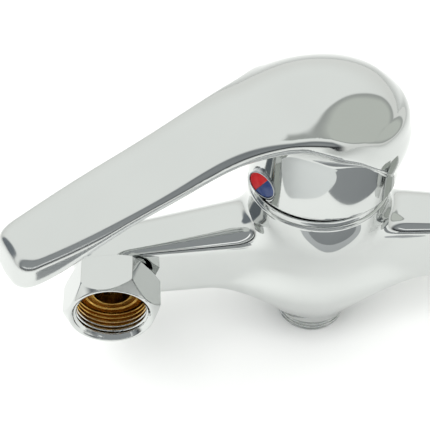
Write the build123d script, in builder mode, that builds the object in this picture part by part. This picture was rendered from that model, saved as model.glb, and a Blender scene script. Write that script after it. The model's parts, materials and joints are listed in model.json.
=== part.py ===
from build123d import *
import os
from math import cos, radians, sin, sqrt

# Exposed single-lever wall mixer: a hollow brass bar body between two inlet union nuts, a
# ceramic-disc cartridge under a lever handle on top, and a threaded outlet underneath.
# Frame: millimetres, +Z up, the wall lies on the -Y side. The origin is midway between the
# two inlet connections, in the plane of the union nuts' mouths.

# ---------------------------------------------------------------- driving dimensions
INLET_CENTRES = 150.0  # standard distance between the two wall connections
HALF_X = INLET_CENTRES / 2
AXIS_Y = 33.2  # nut mouths to the vertical cartridge axis

PITCH = 1.814  # 14 threads per inch
FIRST_GROOVE, GROOVE_HALF = 1.4, 0.7  # first thread groove from the end, half its width
NUT_FLATS = 30.0
NUT_LENGTH = 15.6
NUT_CREST_R = 12.06  # G3/4 internal thread, minor radius
NUT_ROOT_R = 13.22
NUT_THREAD_LENGTH = 10.4
OUTLET_CREST_R = 13.22  # G3/4 external thread, major radius
OUTLET_ROOT_R = 12.06

RIM_Z, RIM_R = 29.0, 25.0  # top rim of the cartridge housing
WAIST_Z, WAIST_R = 8.0, 21.6  # where the housing starts to flare towards the rim
FLARE_Z = 20.0  # the housing is straight from here to the rim
OUTLET_TOP_Z, OUTLET_END_Z = -38.0, -44.7
OUTLET_BOSS_R = 14.2

CARTRIDGE_R = 17.4  # 35 mm cartridge
CAVITY_R = 17.5
CAVITY_FLOOR_Z = 4.0
NUT_BORE_R = 20.0  # housing bore above the cartridge's shoulder
PIVOT_Z = 18.0  # height of the lever's tilt axis

LEVER_AZIMUTH = 60.0  # lever direction at rest, from the wall side (-Y) towards -X
REST_LIFT = 5.0  # lean of the spindle at rest, with the lever closed

os.makedirs("parts", exist_ok=True)


# ---------------------------------------------------------------- planes
arm_x, arm_y = -sin(radians(LEVER_AZIMUTH)), -cos(radians(LEVER_AZIMUTH))
lift_c, lift_s = cos(radians(REST_LIFT)), sin(radians(REST_LIFT))
PIVOT = (0, AXIS_Y, PIVOT_Z)

# horizontal plane of the cartridge, its x along the lever
SWIVEL = Plane(origin=(0, AXIS_Y, 0), x_dir=(arm_x, arm_y, 0), z_dir=(0, 0, 1))
# the handle's own frame: origin on the tilt axis, x out along the lever, z up the spindle
HANDLE = Plane(
    origin=PIVOT,
    x_dir=(lift_c * arm_x, lift_c * arm_y, lift_s),
    z_dir=(-lift_s * arm_x, -lift_s * arm_y, lift_c),
)
# side view of the handle: x along the lever, y up
HANDLE_SIDE = Plane(origin=HANDLE.origin, x_dir=HANDLE.x_dir, z_dir=-HANDLE.y_dir)
# side view of the vertical axis in the lever's direction, and in the world's
SWIVEL_SIDE = Plane(origin=SWIVEL.origin, x_dir=SWIVEL.x_dir, z_dir=-SWIVEL.y_dir)
AXIS_SIDE = Plane(origin=(0, AXIS_Y, 0), x_dir=(1, 0, 0), z_dir=(0, -1, 0))


def across_handle(distance):
    """Plane across the lever at a distance along it: x to the lever's left, y up."""
    return Plane(
        origin=HANDLE.from_local_coords(Vector(distance, 0, 0)),
        x_dir=HANDLE.y_dir,
        z_dir=HANDLE.x_dir,
    )


def inlet_side(x):
    """Plane along an inlet's axis: x outwards from the axis, y into the body from the wall."""
    return Plane(origin=(x, 0, 0), x_dir=(1, 0, 0), z_dir=(0, 0, 1))


def inlet_front(x, y):
    """Plane across an inlet's axis at depth y, facing the body."""
    return Plane(origin=(x, y, 0), x_dir=(1, 0, 0), z_dir=(0, 1, 0))


def finish(part, label):
    """Name a finished piece and write it as one STEP file."""
    part.label = label
    export_step(part, f"parts/{label}.step")


# ---------------------------------------------------------------- bar body
# Arm sections from the centre outwards: x, wall-side y, front y, bottom, top.
ARM_SECTIONS = [
    (4, 18.8, 47.5, -16.6, 17.4),
    (28, 18.2, 44.0, -15.4, 16.3),
    (50, 17.8, 40.0, -13.7, 14.6),
    (75, 17.4, 35.9, -12.0, 12.6),
    (87, 18.0, 34.4, -10.8, 11.0),
]
ARM_END_X = 91.0
WATERWAY_R, WATERWAY_Y = 5.0, 27.0
INLET_PORT = (7.5, -5.7)  # from the cartridge axis
OUTLET_PORT = (0.0, 7.0)
PORT_R = 3.0
TAIL_SHANK_R = 9.9
TAIL_END_Y = 24.0
TAIL_BORE_R = 6.5
NECK_R, NECK_Y = 12.0, 15.9  # round neck behind each nut
NIPPLE_SHANK_R, NIPPLE_TOP_Z, NIPPLE_BORE_R = 9.0, -28.0, 6.8
WATER_ROOM_TOP_Z = -10.0


def arm_section(side, x, y_wall, y_front, bottom, top):
    """Rounded rectangle across the bar, softer at the front than at the wall side."""
    middle = (side * x, (y_wall + y_front) / 2, (bottom + top) / 2)
    with BuildSketch(Plane(origin=middle, x_dir=(0, 1, 0), z_dir=(1, 0, 0))) as s:
        Rectangle(y_front - y_wall, top - bottom)
        fillet(s.vertices().group_by(Axis.Y)[-1], 0.42 * (y_front - y_wall))
        fillet(s.vertices().group_by(Axis.Y)[0], 3.4)
    return s.sketch


with BuildPart() as body_casting:
    # tulip: cartridge housing above, narrowing to the outlet boss below
    with BuildSketch(AXIS_SIDE):
        with BuildLine():
            Polyline((WAIST_R, WAIST_Z), (0, WAIST_Z), (0, OUTLET_TOP_Z), (OUTLET_BOSS_R, OUTLET_TOP_Z))
            Spline((OUTLET_BOSS_R, OUTLET_TOP_Z), (17.4, -28), (20.4, -10), (WAIST_R, WAIST_Z))
        make_face()
    revolve(axis=Axis((0, AXIS_Y, 0), (0, 0, 1)))
    with BuildSketch(AXIS_SIDE):
        with BuildLine():
            Polyline((WAIST_R, WAIST_Z), (0, WAIST_Z), (0, RIM_Z), (RIM_R, RIM_Z), (RIM_R, FLARE_Z))
            Spline(
                (RIM_R, FLARE_Z),
                (24.2, 14),
                (WAIST_R, WAIST_Z),
                tangents=((0, -1), (-0.55, -1)),
            )
        make_face()
    revolve(axis=Axis((0, AXIS_Y, 0), (0, 0, 1)))
    for side in (-1, 1):
        loft([arm_section(side, *dimensions) for dimensions in ARM_SECTIONS])
        # rounded end beyond the inlet
        _, y_wall, y_front, bottom, top = ARM_SECTIONS[-1]
        tip = arm_section(side, ARM_END_X, y_wall + 2.5, y_front - 2.5, bottom + 3, top - 3)
        loft([arm_section(side, *ARM_SECTIONS[-1]), tip])
        # flat wall-side seat and the neck that the nut's end faces
        with BuildSketch(inlet_front(side * HALF_X, NECK_Y)):
            Circle(NECK_R)
        extrude(amount=6)
    fillet(body_casting.edges().filter_by(GeomType.CIRCLE).group_by(Axis.Z)[-1], 1.0)
    # cartridge room and the wider bore that the retaining nut screws into
    with BuildSketch(Plane(origin=(0, AXIS_Y, CAVITY_FLOOR_Z))):
        Circle(CAVITY_R)
    extrude(amount=RIM_Z, mode=Mode.SUBTRACT)
    with BuildSketch(Plane(origin=(0, AXIS_Y, PIVOT_Z))):
        Circle(NUT_BORE_R)
    extrude(amount=RIM_Z, mode=Mode.SUBTRACT)
    # waterways: each inlet crosses to the bar's own bore and rises to its port
    for side in (-1, 1):
        with BuildSketch(inlet_front(side * HALF_X, NECK_Y)):
            Circle(TAIL_SHANK_R)
        extrude(amount=TAIL_END_Y - NECK_Y, mode=Mode.SUBTRACT)
        with BuildSketch(inlet_front(side * HALF_X, TAIL_END_Y)):
            Circle(TAIL_BORE_R)
        extrude(amount=6.5, mode=Mode.SUBTRACT)
        with BuildSketch(Plane(origin=(side * HALF_X, WATERWAY_Y, 0), z_dir=(-side, 0, 0))):
            Circle(WATERWAY_R)
        extrude(amount=HALF_X - INLET_PORT[0] + PORT_R, mode=Mode.SUBTRACT)
        with BuildSketch(Plane(origin=(side * INLET_PORT[0], AXIS_Y + INLET_PORT[1], 0))):
            Circle(PORT_R)
        extrude(amount=CAVITY_FLOOR_Z + 1, mode=Mode.SUBTRACT)
    # outlet: port down to the water room above the nipple
    with BuildSketch(Plane(origin=(OUTLET_PORT[0], AXIS_Y + OUTLET_PORT[1], -16))):
        Circle(PORT_R + 0.5)
    extrude(amount=16 + CAVITY_FLOOR_Z + 1, mode=Mode.SUBTRACT)
    with BuildSketch(Plane(origin=(0, AXIS_Y, OUTLET_TOP_Z))):
        Circle(NIPPLE_SHANK_R)
    extrude(amount=NIPPLE_TOP_Z - OUTLET_TOP_Z, mode=Mode.SUBTRACT)
    with BuildSketch(Plane(origin=(0, AXIS_Y, NIPPLE_TOP_Z))):
        Circle(NIPPLE_BORE_R)
    extrude(amount=WATER_ROOM_TOP_Z - NIPPLE_TOP_Z, mode=Mode.SUBTRACT)
finish(body_casting.part, "body_casting")


# ---------------------------------------------------------------- inlets
FLANGE_Y, FLANGE_END_Y, FLANGE_R = 10.6, 13.1, 11.7
NUT_LIP_Y = 13.2
NUT_LIP_R = 9.96
ORING_R = 0.8  # cord radius of the sealing rings
TAIL_GROOVE_Y = 20.6

for side, name in ((-1, "left"), (1, "right")):
    x_inlet = side * HALF_X
    inlet_axis = Axis((x_inlet, 0, 0), (0, 1, 0))

    # flanged brass tail: its flange takes the sealing washer, its shank sits in the body
    with BuildPart() as inlet_tail:
        with BuildSketch(inlet_side(x_inlet)):
            with BuildLine():
                Polyline(
                    (TAIL_BORE_R, FLANGE_Y),
                    (FLANGE_R, FLANGE_Y),
                    (FLANGE_R, FLANGE_END_Y),
                    (TAIL_SHANK_R, FLANGE_END_Y),
                    (TAIL_SHANK_R, TAIL_GROOVE_Y - 1),
                    (TAIL_SHANK_R - 1.6, TAIL_GROOVE_Y - 1),
                    (TAIL_SHANK_R - 1.6, TAIL_GROOVE_Y + 1),
                    (TAIL_SHANK_R, TAIL_GROOVE_Y + 1),
                    (TAIL_SHANK_R, TAIL_END_Y),
                    (TAIL_BORE_R, TAIL_END_Y),
                    close=True,
                )
            make_face()
        revolve(axis=inlet_axis)
    finish(inlet_tail.part, f"inlet_tail_{name}")

    with BuildPart() as tail_oring:
        with BuildSketch(inlet_side(x_inlet)):
            with Locations((TAIL_SHANK_R - ORING_R, TAIL_GROOVE_Y)):
                Circle(ORING_R)
        revolve(axis=inlet_axis)
    finish(tail_oring.part, f"tail_oring_{name}")

    # hexagonal union nut, one flat upwards, turning freely behind the tail's flange
    with BuildPart() as union_nut:
        with BuildSketch(inlet_front(x_inlet, 0)):
            RegularPolygon(NUT_FLATS / 2, 6, major_radius=False)
        extrude(amount=NUT_LENGTH)
        corner_r = NUT_FLATS / sqrt(3)
        with BuildSketch(inlet_side(x_inlet)):
            with BuildLine():
                Polyline(
                    (0, 0),
                    (14.0, 0),
                    (corner_r, 2.2),
                    (corner_r, NUT_LENGTH - 1.4),
                    (14.6, NUT_LENGTH),
                    (0, NUT_LENGTH),
                    close=True,
                )
            make_face()
        revolve(axis=inlet_axis, mode=Mode.INTERSECT)
        with BuildSketch(inlet_front(x_inlet, 0)):
            Circle(NUT_LIP_R)
        extrude(amount=NUT_LENGTH, mode=Mode.SUBTRACT)
        with BuildSketch(inlet_front(x_inlet, 0)):
            Circle(NUT_CREST_R)
        extrude(amount=NUT_THREAD_LENGTH, mode=Mode.SUBTRACT)
        # room for the tail's flange, as wide as the thread's root
        with BuildSketch(inlet_front(x_inlet, NUT_THREAD_LENGTH)):
            Circle(NUT_ROOT_R)
        extrude(amount=NUT_LIP_Y - NUT_THREAD_LENGTH, mode=Mode.SUBTRACT)
        # thread: one V groove per pitch, crests left as narrow lands
        for turn in range(int(NUT_THREAD_LENGTH / PITCH)):
            middle = FIRST_GROOVE + turn * PITCH
            with BuildSketch(inlet_side(x_inlet)):
                with BuildLine():
                    Polyline(
                        (NUT_CREST_R - 0.3, middle - GROOVE_HALF),
                        (NUT_ROOT_R, middle - 0.1),
                        (NUT_ROOT_R, middle + 0.1),
                        (NUT_CREST_R - 0.3, middle + GROOVE_HALF),
                        close=True,
                    )
                make_face()
            revolve(axis=inlet_axis, mode=Mode.SUBTRACT)
    finish(union_nut.part, f"union_nut_{name}")


# ---------------------------------------------------------------- outlet
NIPPLE_GROOVE_Z = -33.0
OUTLET_MOUTH_R, OUTLET_SEAT_Z = 10.2, -40.8  # wider mouth below the bore
outlet_axis = Axis((0, AXIS_Y, 0), (0, 0, 1))

with BuildPart() as outlet_nipple:
    with BuildSketch(AXIS_SIDE):
        with BuildLine():
            Polyline(
                (OUTLET_MOUTH_R, OUTLET_END_Z),
                (OUTLET_ROOT_R, OUTLET_END_Z),
                (OUTLET_CREST_R, OUTLET_END_Z + 1.1),
                (OUTLET_CREST_R, OUTLET_TOP_Z),
                (NIPPLE_SHANK_R, OUTLET_TOP_Z),
                (NIPPLE_SHANK_R, NIPPLE_GROOVE_Z - 1),
                (NIPPLE_SHANK_R - 1.6, NIPPLE_GROOVE_Z - 1),
                (NIPPLE_SHANK_R - 1.6, NIPPLE_GROOVE_Z + 1),
                (NIPPLE_SHANK_R, NIPPLE_GROOVE_Z + 1),
                (NIPPLE_SHANK_R, NIPPLE_TOP_Z),
                (NIPPLE_BORE_R, NIPPLE_TOP_Z),
                (NIPPLE_BORE_R, OUTLET_SEAT_Z),
                (OUTLET_MOUTH_R, OUTLET_SEAT_Z),
                close=True,
            )
        make_face()
    revolve(axis=outlet_axis)
    for turn in range(int((OUTLET_TOP_Z - OUTLET_END_Z) / PITCH)):
        middle = OUTLET_END_Z + FIRST_GROOVE + 0.5 + turn * PITCH
        with BuildSketch(AXIS_SIDE):
            with BuildLine():
                Polyline(
                    (OUTLET_CREST_R + 0.3, middle - GROOVE_HALF),
                    (OUTLET_ROOT_R, middle - 0.1),
                    (OUTLET_ROOT_R, middle + 0.1),
                    (OUTLET_CREST_R + 0.3, middle + GROOVE_HALF),
                    close=True,
                )
            make_face()
        revolve(axis=outlet_axis, mode=Mode.SUBTRACT)
finish(outlet_nipple.part, "outlet_nipple")

with BuildPart() as outlet_oring:
    with BuildSketch(AXIS_SIDE):
        with Locations((NIPPLE_SHANK_R - ORING_R, NIPPLE_GROOVE_Z)):
            Circle(ORING_R)
    revolve(axis=outlet_axis)
finish(outlet_oring.part, "outlet_oring")


# ---------------------------------------------------------------- cartridge
BASE_TOP_Z = 8.0
FIXED_DISC_TOP_Z, FIXED_DISC_R = 10.5, 14.0
DISC_GAP = 0.02
MOVING_DISC_TOP_Z, MOVING_DISC_R = 12.5, 11.2
CARRIER_TOP_Z = 14.6
ROTOR_BOTTOM_Z, ROTOR_TOP_Z, ROTOR_R = 15.0, 26.0, 12.45
CASE_TOP_Z = 26.5
CASE_ROOM_R = 14.2
NECK_OUTER_R, NECK_BORE_R = 15.0, 12.5
PIN_R, PIN_LENGTH = 1.5, 20.0
SPINDLE_SIDE = 8.0
SPINDLE_TOP = 42.0  # above the tilt axis
SPINDLE_EYE_R = 2.9
LOWER_ARM = 3.6  # tilt axis to the middle of the spindle's ball foot
BALL_R = 1.8
SEAL_MIDDLE_R, SEAL_CORD_R = 4.6, 0.9

ports = [(-INLET_PORT[0], INLET_PORT[1]), INLET_PORT, OUTLET_PORT]

with BuildPart() as cartridge_base:
    with BuildSketch(Plane(origin=(0, AXIS_Y, CAVITY_FLOOR_Z))):
        Circle(CARTRIDGE_R)
        with Locations(*ports):
            Circle(PORT_R, mode=Mode.SUBTRACT)
    extrude(amount=BASE_TOP_Z - CAVITY_FLOOR_Z)
    # ring grooves round the three ports, opening downwards
    with BuildSketch(Plane(origin=(0, AXIS_Y, CAVITY_FLOOR_Z))):
        with Locations(*ports):
            Circle(SEAL_MIDDLE_R + SEAL_CORD_R)
            Circle(SEAL_MIDDLE_R - SEAL_CORD_R, mode=Mode.SUBTRACT)
    extrude(amount=2 * SEAL_CORD_R, mode=Mode.SUBTRACT)
finish(cartridge_base.part, "cartridge_base")

with BuildPart() as port_seals:
    for port_x, port_y in ports:
        with BuildSketch(Plane(origin=(port_x, AXIS_Y + port_y, CAVITY_FLOOR_Z), x_dir=(1, 0, 0),
                               z_dir=(0, -1, 0))):
            with Locations((SEAL_MIDDLE_R, SEAL_CORD_R)):
                Circle(SEAL_CORD_R)
        revolve(axis=Axis((port_x, AXIS_Y + port_y, 0), (0, 0, 1)))
finish(port_seals.part, "port_seals")

with BuildPart() as fixed_disc:
    with BuildSketch(Plane(origin=(0, AXIS_Y, BASE_TOP_Z))):
        Circle(FIXED_DISC_R)
        with Locations(*ports):
            Circle(PORT_R, mode=Mode.SUBTRACT)
    extrude(amount=FIXED_DISC_TOP_Z - BASE_TOP_Z)
finish(fixed_disc.part, "fixed_disc")

with BuildPart() as moving_disc:
    with BuildSketch(SWIVEL.offset(FIXED_DISC_TOP_Z + DISC_GAP)):
        Circle(MOVING_DISC_R)
    extrude(amount=MOVING_DISC_TOP_Z - FIXED_DISC_TOP_Z - DISC_GAP)
    # shallow mixing pocket in the underside
    with BuildSketch(SWIVEL.offset(FIXED_DISC_TOP_Z)):
        SlotCenterToCenter(5.0, 9.0)
    extrude(amount=1.2, mode=Mode.SUBTRACT)
finish(moving_disc.part, "moving_disc")

with BuildPart() as disc_carrier:
    with BuildSketch(SWIVEL.offset(MOVING_DISC_TOP_Z)):
        Circle(MOVING_DISC_R)
    extrude(amount=CARRIER_TOP_Z - MOVING_DISC_TOP_Z)
    # socket that the spindle's foot pushes
    with BuildSketch(SWIVEL.offset(MOVING_DISC_TOP_Z)):
        with Locations((LOWER_ARM * sin(radians(REST_LIFT)), 0)):
            Rectangle(2 * BALL_R + 0.3, 2 * BALL_R + 0.4)
    extrude(amount=CARRIER_TOP_Z, mode=Mode.SUBTRACT)
finish(disc_carrier.part, "disc_carrier")

with BuildPart() as cartridge_case:
    with BuildSketch(AXIS_SIDE):
        with BuildLine():
            Polyline(
                (CASE_ROOM_R, BASE_TOP_Z),
                (CARTRIDGE_R, BASE_TOP_Z),
                (CARTRIDGE_R, PIVOT_Z),
                (NECK_OUTER_R, PIVOT_Z),
                (NECK_OUTER_R, CASE_TOP_Z),
                (NECK_BORE_R, CASE_TOP_Z),
                (NECK_BORE_R, ROTOR_BOTTOM_Z - 0.2),
                (CASE_ROOM_R, ROTOR_BOTTOM_Z - 0.2),
                close=True,
            )
        make_face()
    revolve(axis=outlet_axis)
finish(cartridge_case.part, "cartridge_case")

with BuildPart() as rotor:
    with BuildSketch(SWIVEL.offset(ROTOR_BOTTOM_Z)):
        Circle(ROTOR_R)
        # slot that the spindle tilts in
        with Locations((-1.3, 0)):
            Rectangle(15.4, SPINDLE_SIDE + 0.3, mode=Mode.SUBTRACT)
    extrude(amount=ROTOR_TOP_Z - ROTOR_BOTTOM_Z)
    with BuildSketch(SWIVEL_SIDE):
        with Locations((0, PIVOT_Z)):
            Circle(PIN_R)
    extrude(amount=PIN_LENGTH / 2, both=True, mode=Mode.SUBTRACT)
finish(rotor.part, "rotor")

with BuildPart() as spindle_pin:
    with BuildSketch(SWIVEL_SIDE):
        with Locations((0, PIVOT_Z)):
            Circle(PIN_R)
    extrude(amount=PIN_LENGTH / 2, both=True)
finish(spindle_pin.part, "spindle_pin")

with BuildPart() as spindle:
    with BuildSketch(HANDLE):
        Rectangle(SPINDLE_SIDE, SPINDLE_SIDE)
    extrude(amount=SPINDLE_TOP)
    chamfer(spindle.faces().sort_by(Axis.Z)[-1].edges(), 0.6)
    # eye round the pin
    with BuildSketch(HANDLE_SIDE):
        Circle(SPINDLE_EYE_R)
    extrude(amount=SPINDLE_SIDE / 2, both=True)
    # turned foot with a ball end, sitting in the disc carrier
    with BuildSketch(HANDLE.offset(-LOWER_ARM)):
        Circle(1.3)
    extrude(amount=LOWER_ARM)
    with BuildSketch(HANDLE_SIDE):
        with BuildLine():
            CenterArc((0, -LOWER_ARM), BALL_R, -90, 180)
            Line((0, -LOWER_ARM + BALL_R), (0, -LOWER_ARM - BALL_R))
        make_face()
    revolve(axis=Axis(HANDLE.origin, HANDLE.z_dir))
    with BuildSketch(HANDLE_SIDE):
        Circle(PIN_R + 0.04)
    extrude(amount=SPINDLE_SIDE, both=True, mode=Mode.SUBTRACT)
finish(spindle.part, "spindle")

NUT_TOP_Z = 25.0
with BuildPart() as retaining_nut:
    with BuildSketch(Plane(origin=(0, AXIS_Y, PIVOT_Z))):
        Circle(NUT_BORE_R)
        Circle(NECK_OUTER_R + 0.1, mode=Mode.SUBTRACT)
    extrude(amount=NUT_TOP_Z - PIVOT_Z)
    # four key slots for the fitter's tool
    with BuildSketch(Plane(origin=(0, AXIS_Y, NUT_TOP_Z))):
        with PolarLocations(NUT_BORE_R - 1.2, 4):
            Rectangle(2.6, 4.0)
    extrude(amount=-3.0, mode=Mode.SUBTRACT)
finish(retaining_nut.part, "retaining_nut")

# domed trim ring: a ball-shaped cover centred on the tilt axis, so the handle rolls over it
DOME_R, DOME_WALL = 23.2, 1.6
DOME_HOLE_R = 15.0
TRIM_FLANGE_R, TRIM_FLANGE_TOP_Z = 24.3, 31.6
SLEEVE_R, SLEEVE_BOTTOM_Z = 19.9, 25.4


def dome_height(radius, sphere_r):
    """Height of the trim ring's ball surface at a radius from the cartridge axis."""
    return PIVOT_Z + sqrt(sphere_r**2 - radius**2)


dome_inner_r = DOME_R - DOME_WALL
flange_meet_r = sqrt(DOME_R**2 - (TRIM_FLANGE_TOP_Z - PIVOT_Z) ** 2)
sleeve_inner_r = sqrt(dome_inner_r**2 - (RIM_Z - PIVOT_Z) ** 2)
middle_r = (flange_meet_r + DOME_HOLE_R) / 2
inner_middle_r = (sleeve_inner_r + DOME_HOLE_R) / 2

with BuildPart() as trim_ring:
    with BuildSketch(AXIS_SIDE):
        with BuildLine():
            Polyline(
                (sleeve_inner_r, RIM_Z),
                (sleeve_inner_r, SLEEVE_BOTTOM_Z),
                (SLEEVE_R, SLEEVE_BOTTOM_Z),
                (SLEEVE_R, RIM_Z),
                (TRIM_FLANGE_R, RIM_Z),
                (TRIM_FLANGE_R, TRIM_FLANGE_TOP_Z),
                (flange_meet_r, TRIM_FLANGE_TOP_Z),
            )
            ThreePointArc(
                (flange_meet_r, TRIM_FLANGE_TOP_Z),
                (middle_r, dome_height(middle_r, DOME_R)),
                (DOME_HOLE_R, dome_height(DOME_HOLE_R, DOME_R)),
            )
            Line(
                (DOME_HOLE_R, dome_height(DOME_HOLE_R, DOME_R)),
                (DOME_HOLE_R, dome_height(DOME_HOLE_R, dome_inner_r)),
            )
            ThreePointArc(
                (DOME_HOLE_R, dome_height(DOME_HOLE_R, dome_inner_r)),
                (inner_middle_r, dome_height(inner_middle_r, dome_inner_r)),
                (sleeve_inner_r, RIM_Z),
            )
        make_face()
    revolve(axis=outlet_axis)
finish(trim_ring.part, "trim_ring")


# ---------------------------------------------------------------- handle
# All heights and lengths here are in the handle's frame, from the tilt axis.
SKIRT_R, SKIRT_TOP = 25.6, 40.0
SKIRT_BOTTOM_Z = 32.7  # level in the rest pose, above the trim ring
SKIRT_BORE_R, SKIRT_BORE_TOP = 23.9, 17.0
HOOD_BOTTOM = 20.0
HOOD_R, HOOD_MIDDLE, HOOD_HEIGHT = 28.0, 32.1, 25.9
ROOM_R, ROOM_HEIGHT = 22.4, 18.0
HUB_R, HUB_BOTTOM = 8.0, 24.2
SOCKET_GAP = 0.05
# Lever sections: distance out, half width, edge height, crown, edge band, belly
LEVER_SECTIONS = [
    (4, 24.0, 44.5, 9.5, 5.0, 7.0),
    (25, 18.6, 48.8, 5.6, 4.2, 7.0),
    (44, 14.7, 49.8, 3.4, 3.6, 5.0),
    (64, 13.7, 45.2, 2.7, 3.3, 4.0),
    (84, 12.9, 40.8, 2.3, 3.6, 3.0),
    (100, 11.2, 37.7, 2.0, 5.8, 1.6),
    (114.5, 8.8, 34.9, 1.2, 7.4, 1.0),
]
BUTTON_HEIGHT, BUTTON_R, BUTTON_SEAT = 18.7, 5.2, 1.2
BUTTON_RIM = 0.45
SCREW_SLOPE = 24.0
SCREW_R = 3.0


def egg_arc(radius, middle, height):
    """Quarter of an ellipse from the barrel's side up to the handle's axis."""
    points = [(radius * cos(radians(a)), middle + height * sin(radians(a))) for a in (0, 30, 60, 90)]
    return Spline(*points, tangents=((0, 1), (-1, 0)))


def lever_section(distance, half_width, edge, crown, band, belly):
    """One cross-section of the lever: crowned top, narrow edge band, rounded belly."""
    with BuildSketch(across_handle(distance)) as s:
        with BuildLine():
            ThreePointArc((-half_width, edge), (0, edge + crown), (half_width, edge))
            Line((half_width, edge), (half_width - 0.6, edge - band))
            ThreePointArc(
                (half_width - 0.6, edge - band),
                (0, edge - band - belly),
                (0.6 - half_width, edge - band),
            )
            Line((0.6 - half_width, edge - band), (-half_width, edge))
        make_face()
    return s.sketch


# axis of the set screw and its access hole: in from the button, rising to the spindle
button_centre = HANDLE.from_local_coords(Vector(SKIRT_R, 0, BUTTON_HEIGHT))
screw_out = HANDLE.x_dir * cos(radians(SCREW_SLOPE)) - HANDLE.z_dir * sin(radians(SCREW_SLOPE))
SCREW_PLANE = Plane(origin=button_centre, x_dir=HANDLE.y_dir, z_dir=screw_out)
BUTTON_PLANE = Plane(origin=button_centre, x_dir=HANDLE.y_dir, z_dir=HANDLE.x_dir)
screw_depth = (SKIRT_R - SPINDLE_SIDE / 2) / cos(radians(SCREW_SLOPE))

with BuildPart() as handle:
    # hood: a half egg over a short barrel
    with BuildSketch(HANDLE_SIDE):
        with BuildLine():
            Polyline(
                (0, HOOD_MIDDLE + HOOD_HEIGHT),
                (0, HOOD_BOTTOM),
                (HOOD_R - 1.5, HOOD_BOTTOM),
                (HOOD_R, HOOD_MIDDLE),
            )
            add(egg_arc(HOOD_R, HOOD_MIDDLE, HOOD_HEIGHT))
        make_face()
    revolve(axis=Axis(HANDLE.origin, HANDLE.z_dir))
    # the hood's lower edge climbs from the back to the lever's root
    with BuildSketch(HANDLE_SIDE):
        with BuildLine():
            Polyline((-40, 10), (-40, 23), (-10, 23), (22, 45.5), (60, 45.5), (60, 10), close=True)
        make_face()
    extrude(amount=40, both=True, mode=Mode.SUBTRACT)
    loft([lever_section(*dimensions) for dimensions in LEVER_SECTIONS])
    # skirt and the room inside
    with BuildSketch(HANDLE.offset(SKIRT_TOP)):
        Circle(SKIRT_R)
    extrude(amount=-SKIRT_TOP)
    split(bisect_by=Plane(origin=(0, AXIS_Y, SKIRT_BOTTOM_Z)), keep=Keep.TOP)
    with BuildSketch(HANDLE_SIDE):
        with BuildLine():
            Polyline(
                (0, HOOD_MIDDLE + ROOM_HEIGHT),
                (0, 0),
                (SKIRT_BORE_R, 0),
                (SKIRT_BORE_R, SKIRT_BORE_TOP),
                (ROOM_R, SKIRT_BORE_TOP + 0.6),
                (ROOM_R, HOOD_MIDDLE),
            )
            add(egg_arc(ROOM_R, HOOD_MIDDLE, ROOM_HEIGHT))
        make_face()
    revolve(axis=Axis(HANDLE.origin, HANDLE.z_dir), mode=Mode.SUBTRACT)
    # hub that grips the spindle
    with BuildSketch(HANDLE.offset(HUB_BOTTOM)):
        Circle(HUB_R)
    extrude(amount=HOOD_MIDDLE + ROOM_HEIGHT + 1 - HUB_BOTTOM)
    with BuildSketch(HANDLE.offset(HUB_BOTTOM)):
        Rectangle(SPINDLE_SIDE + 2 * SOCKET_GAP, SPINDLE_SIDE + 2 * SOCKET_GAP)
    extrude(amount=SPINDLE_TOP + 0.4 - HUB_BOTTOM, mode=Mode.SUBTRACT)
    # button seat in the skirt and the sloping screw hole behind it
    with BuildSketch(BUTTON_PLANE):
        Circle(BUTTON_R)
    extrude(amount=-BUTTON_SEAT, mode=Mode.SUBTRACT)
    with BuildSketch(SCREW_PLANE):
        Circle(SCREW_R)
    extrude(amount=-screw_depth - 0.5, mode=Mode.SUBTRACT)
finish(handle.part, "handle")

SCREW_LENGTH = 9.0
with BuildPart() as handle_set_screw:
    with BuildSketch(SCREW_PLANE.offset(-screw_depth + 1.4)):
        Circle(SCREW_R)
    extrude(amount=SCREW_LENGTH)
    # hexagon socket
    with BuildSketch(SCREW_PLANE.offset(-screw_depth + 1.4 + SCREW_LENGTH)):
        RegularPolygon(1.5, 6, major_radius=False)
    extrude(amount=-3.0, mode=Mode.SUBTRACT)
finish(handle_set_screw.part, "handle_set_screw")

# red and blue index button: a carrier with two half inserts
with BuildPart() as index_carrier:
    with BuildSketch(BUTTON_PLANE.offset(-BUTTON_SEAT)):
        Circle(BUTTON_R)
    extrude(amount=1.6)
    with BuildSketch(BUTTON_PLANE.offset(-0.4)):
        Circle(BUTTON_R - BUTTON_RIM)
    extrude(amount=1.6, mode=Mode.SUBTRACT)
    with BuildSketch(SCREW_PLANE.offset(-4.0)):
        Circle(SCREW_R - 0.1)
        Circle(SCREW_R - 1.0, mode=Mode.SUBTRACT)
    extrude(amount=2.3)
finish(index_carrier.part, "index_carrier")

for colour, turn in (("red", 58), ("blue", 238)):
    with BuildPart() as insert:
        with BuildSketch(BUTTON_PLANE.offset(-0.4)):
            with BuildLine():
                rim = CenterArc((0, 0), BUTTON_R - BUTTON_RIM, turn, 180)
                Line(rim @ 1, rim @ 0)
            make_face()
        extrude(amount=1.0)
    finish(insert.part, f"index_{colour}")
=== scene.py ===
"""Looks of the exposed wall mixer: chromed body, lever, nuts and outlet round the CAD frame."""

import json
import math

import bpy
import numpy as np
from mathutils import Matrix, Vector


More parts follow.
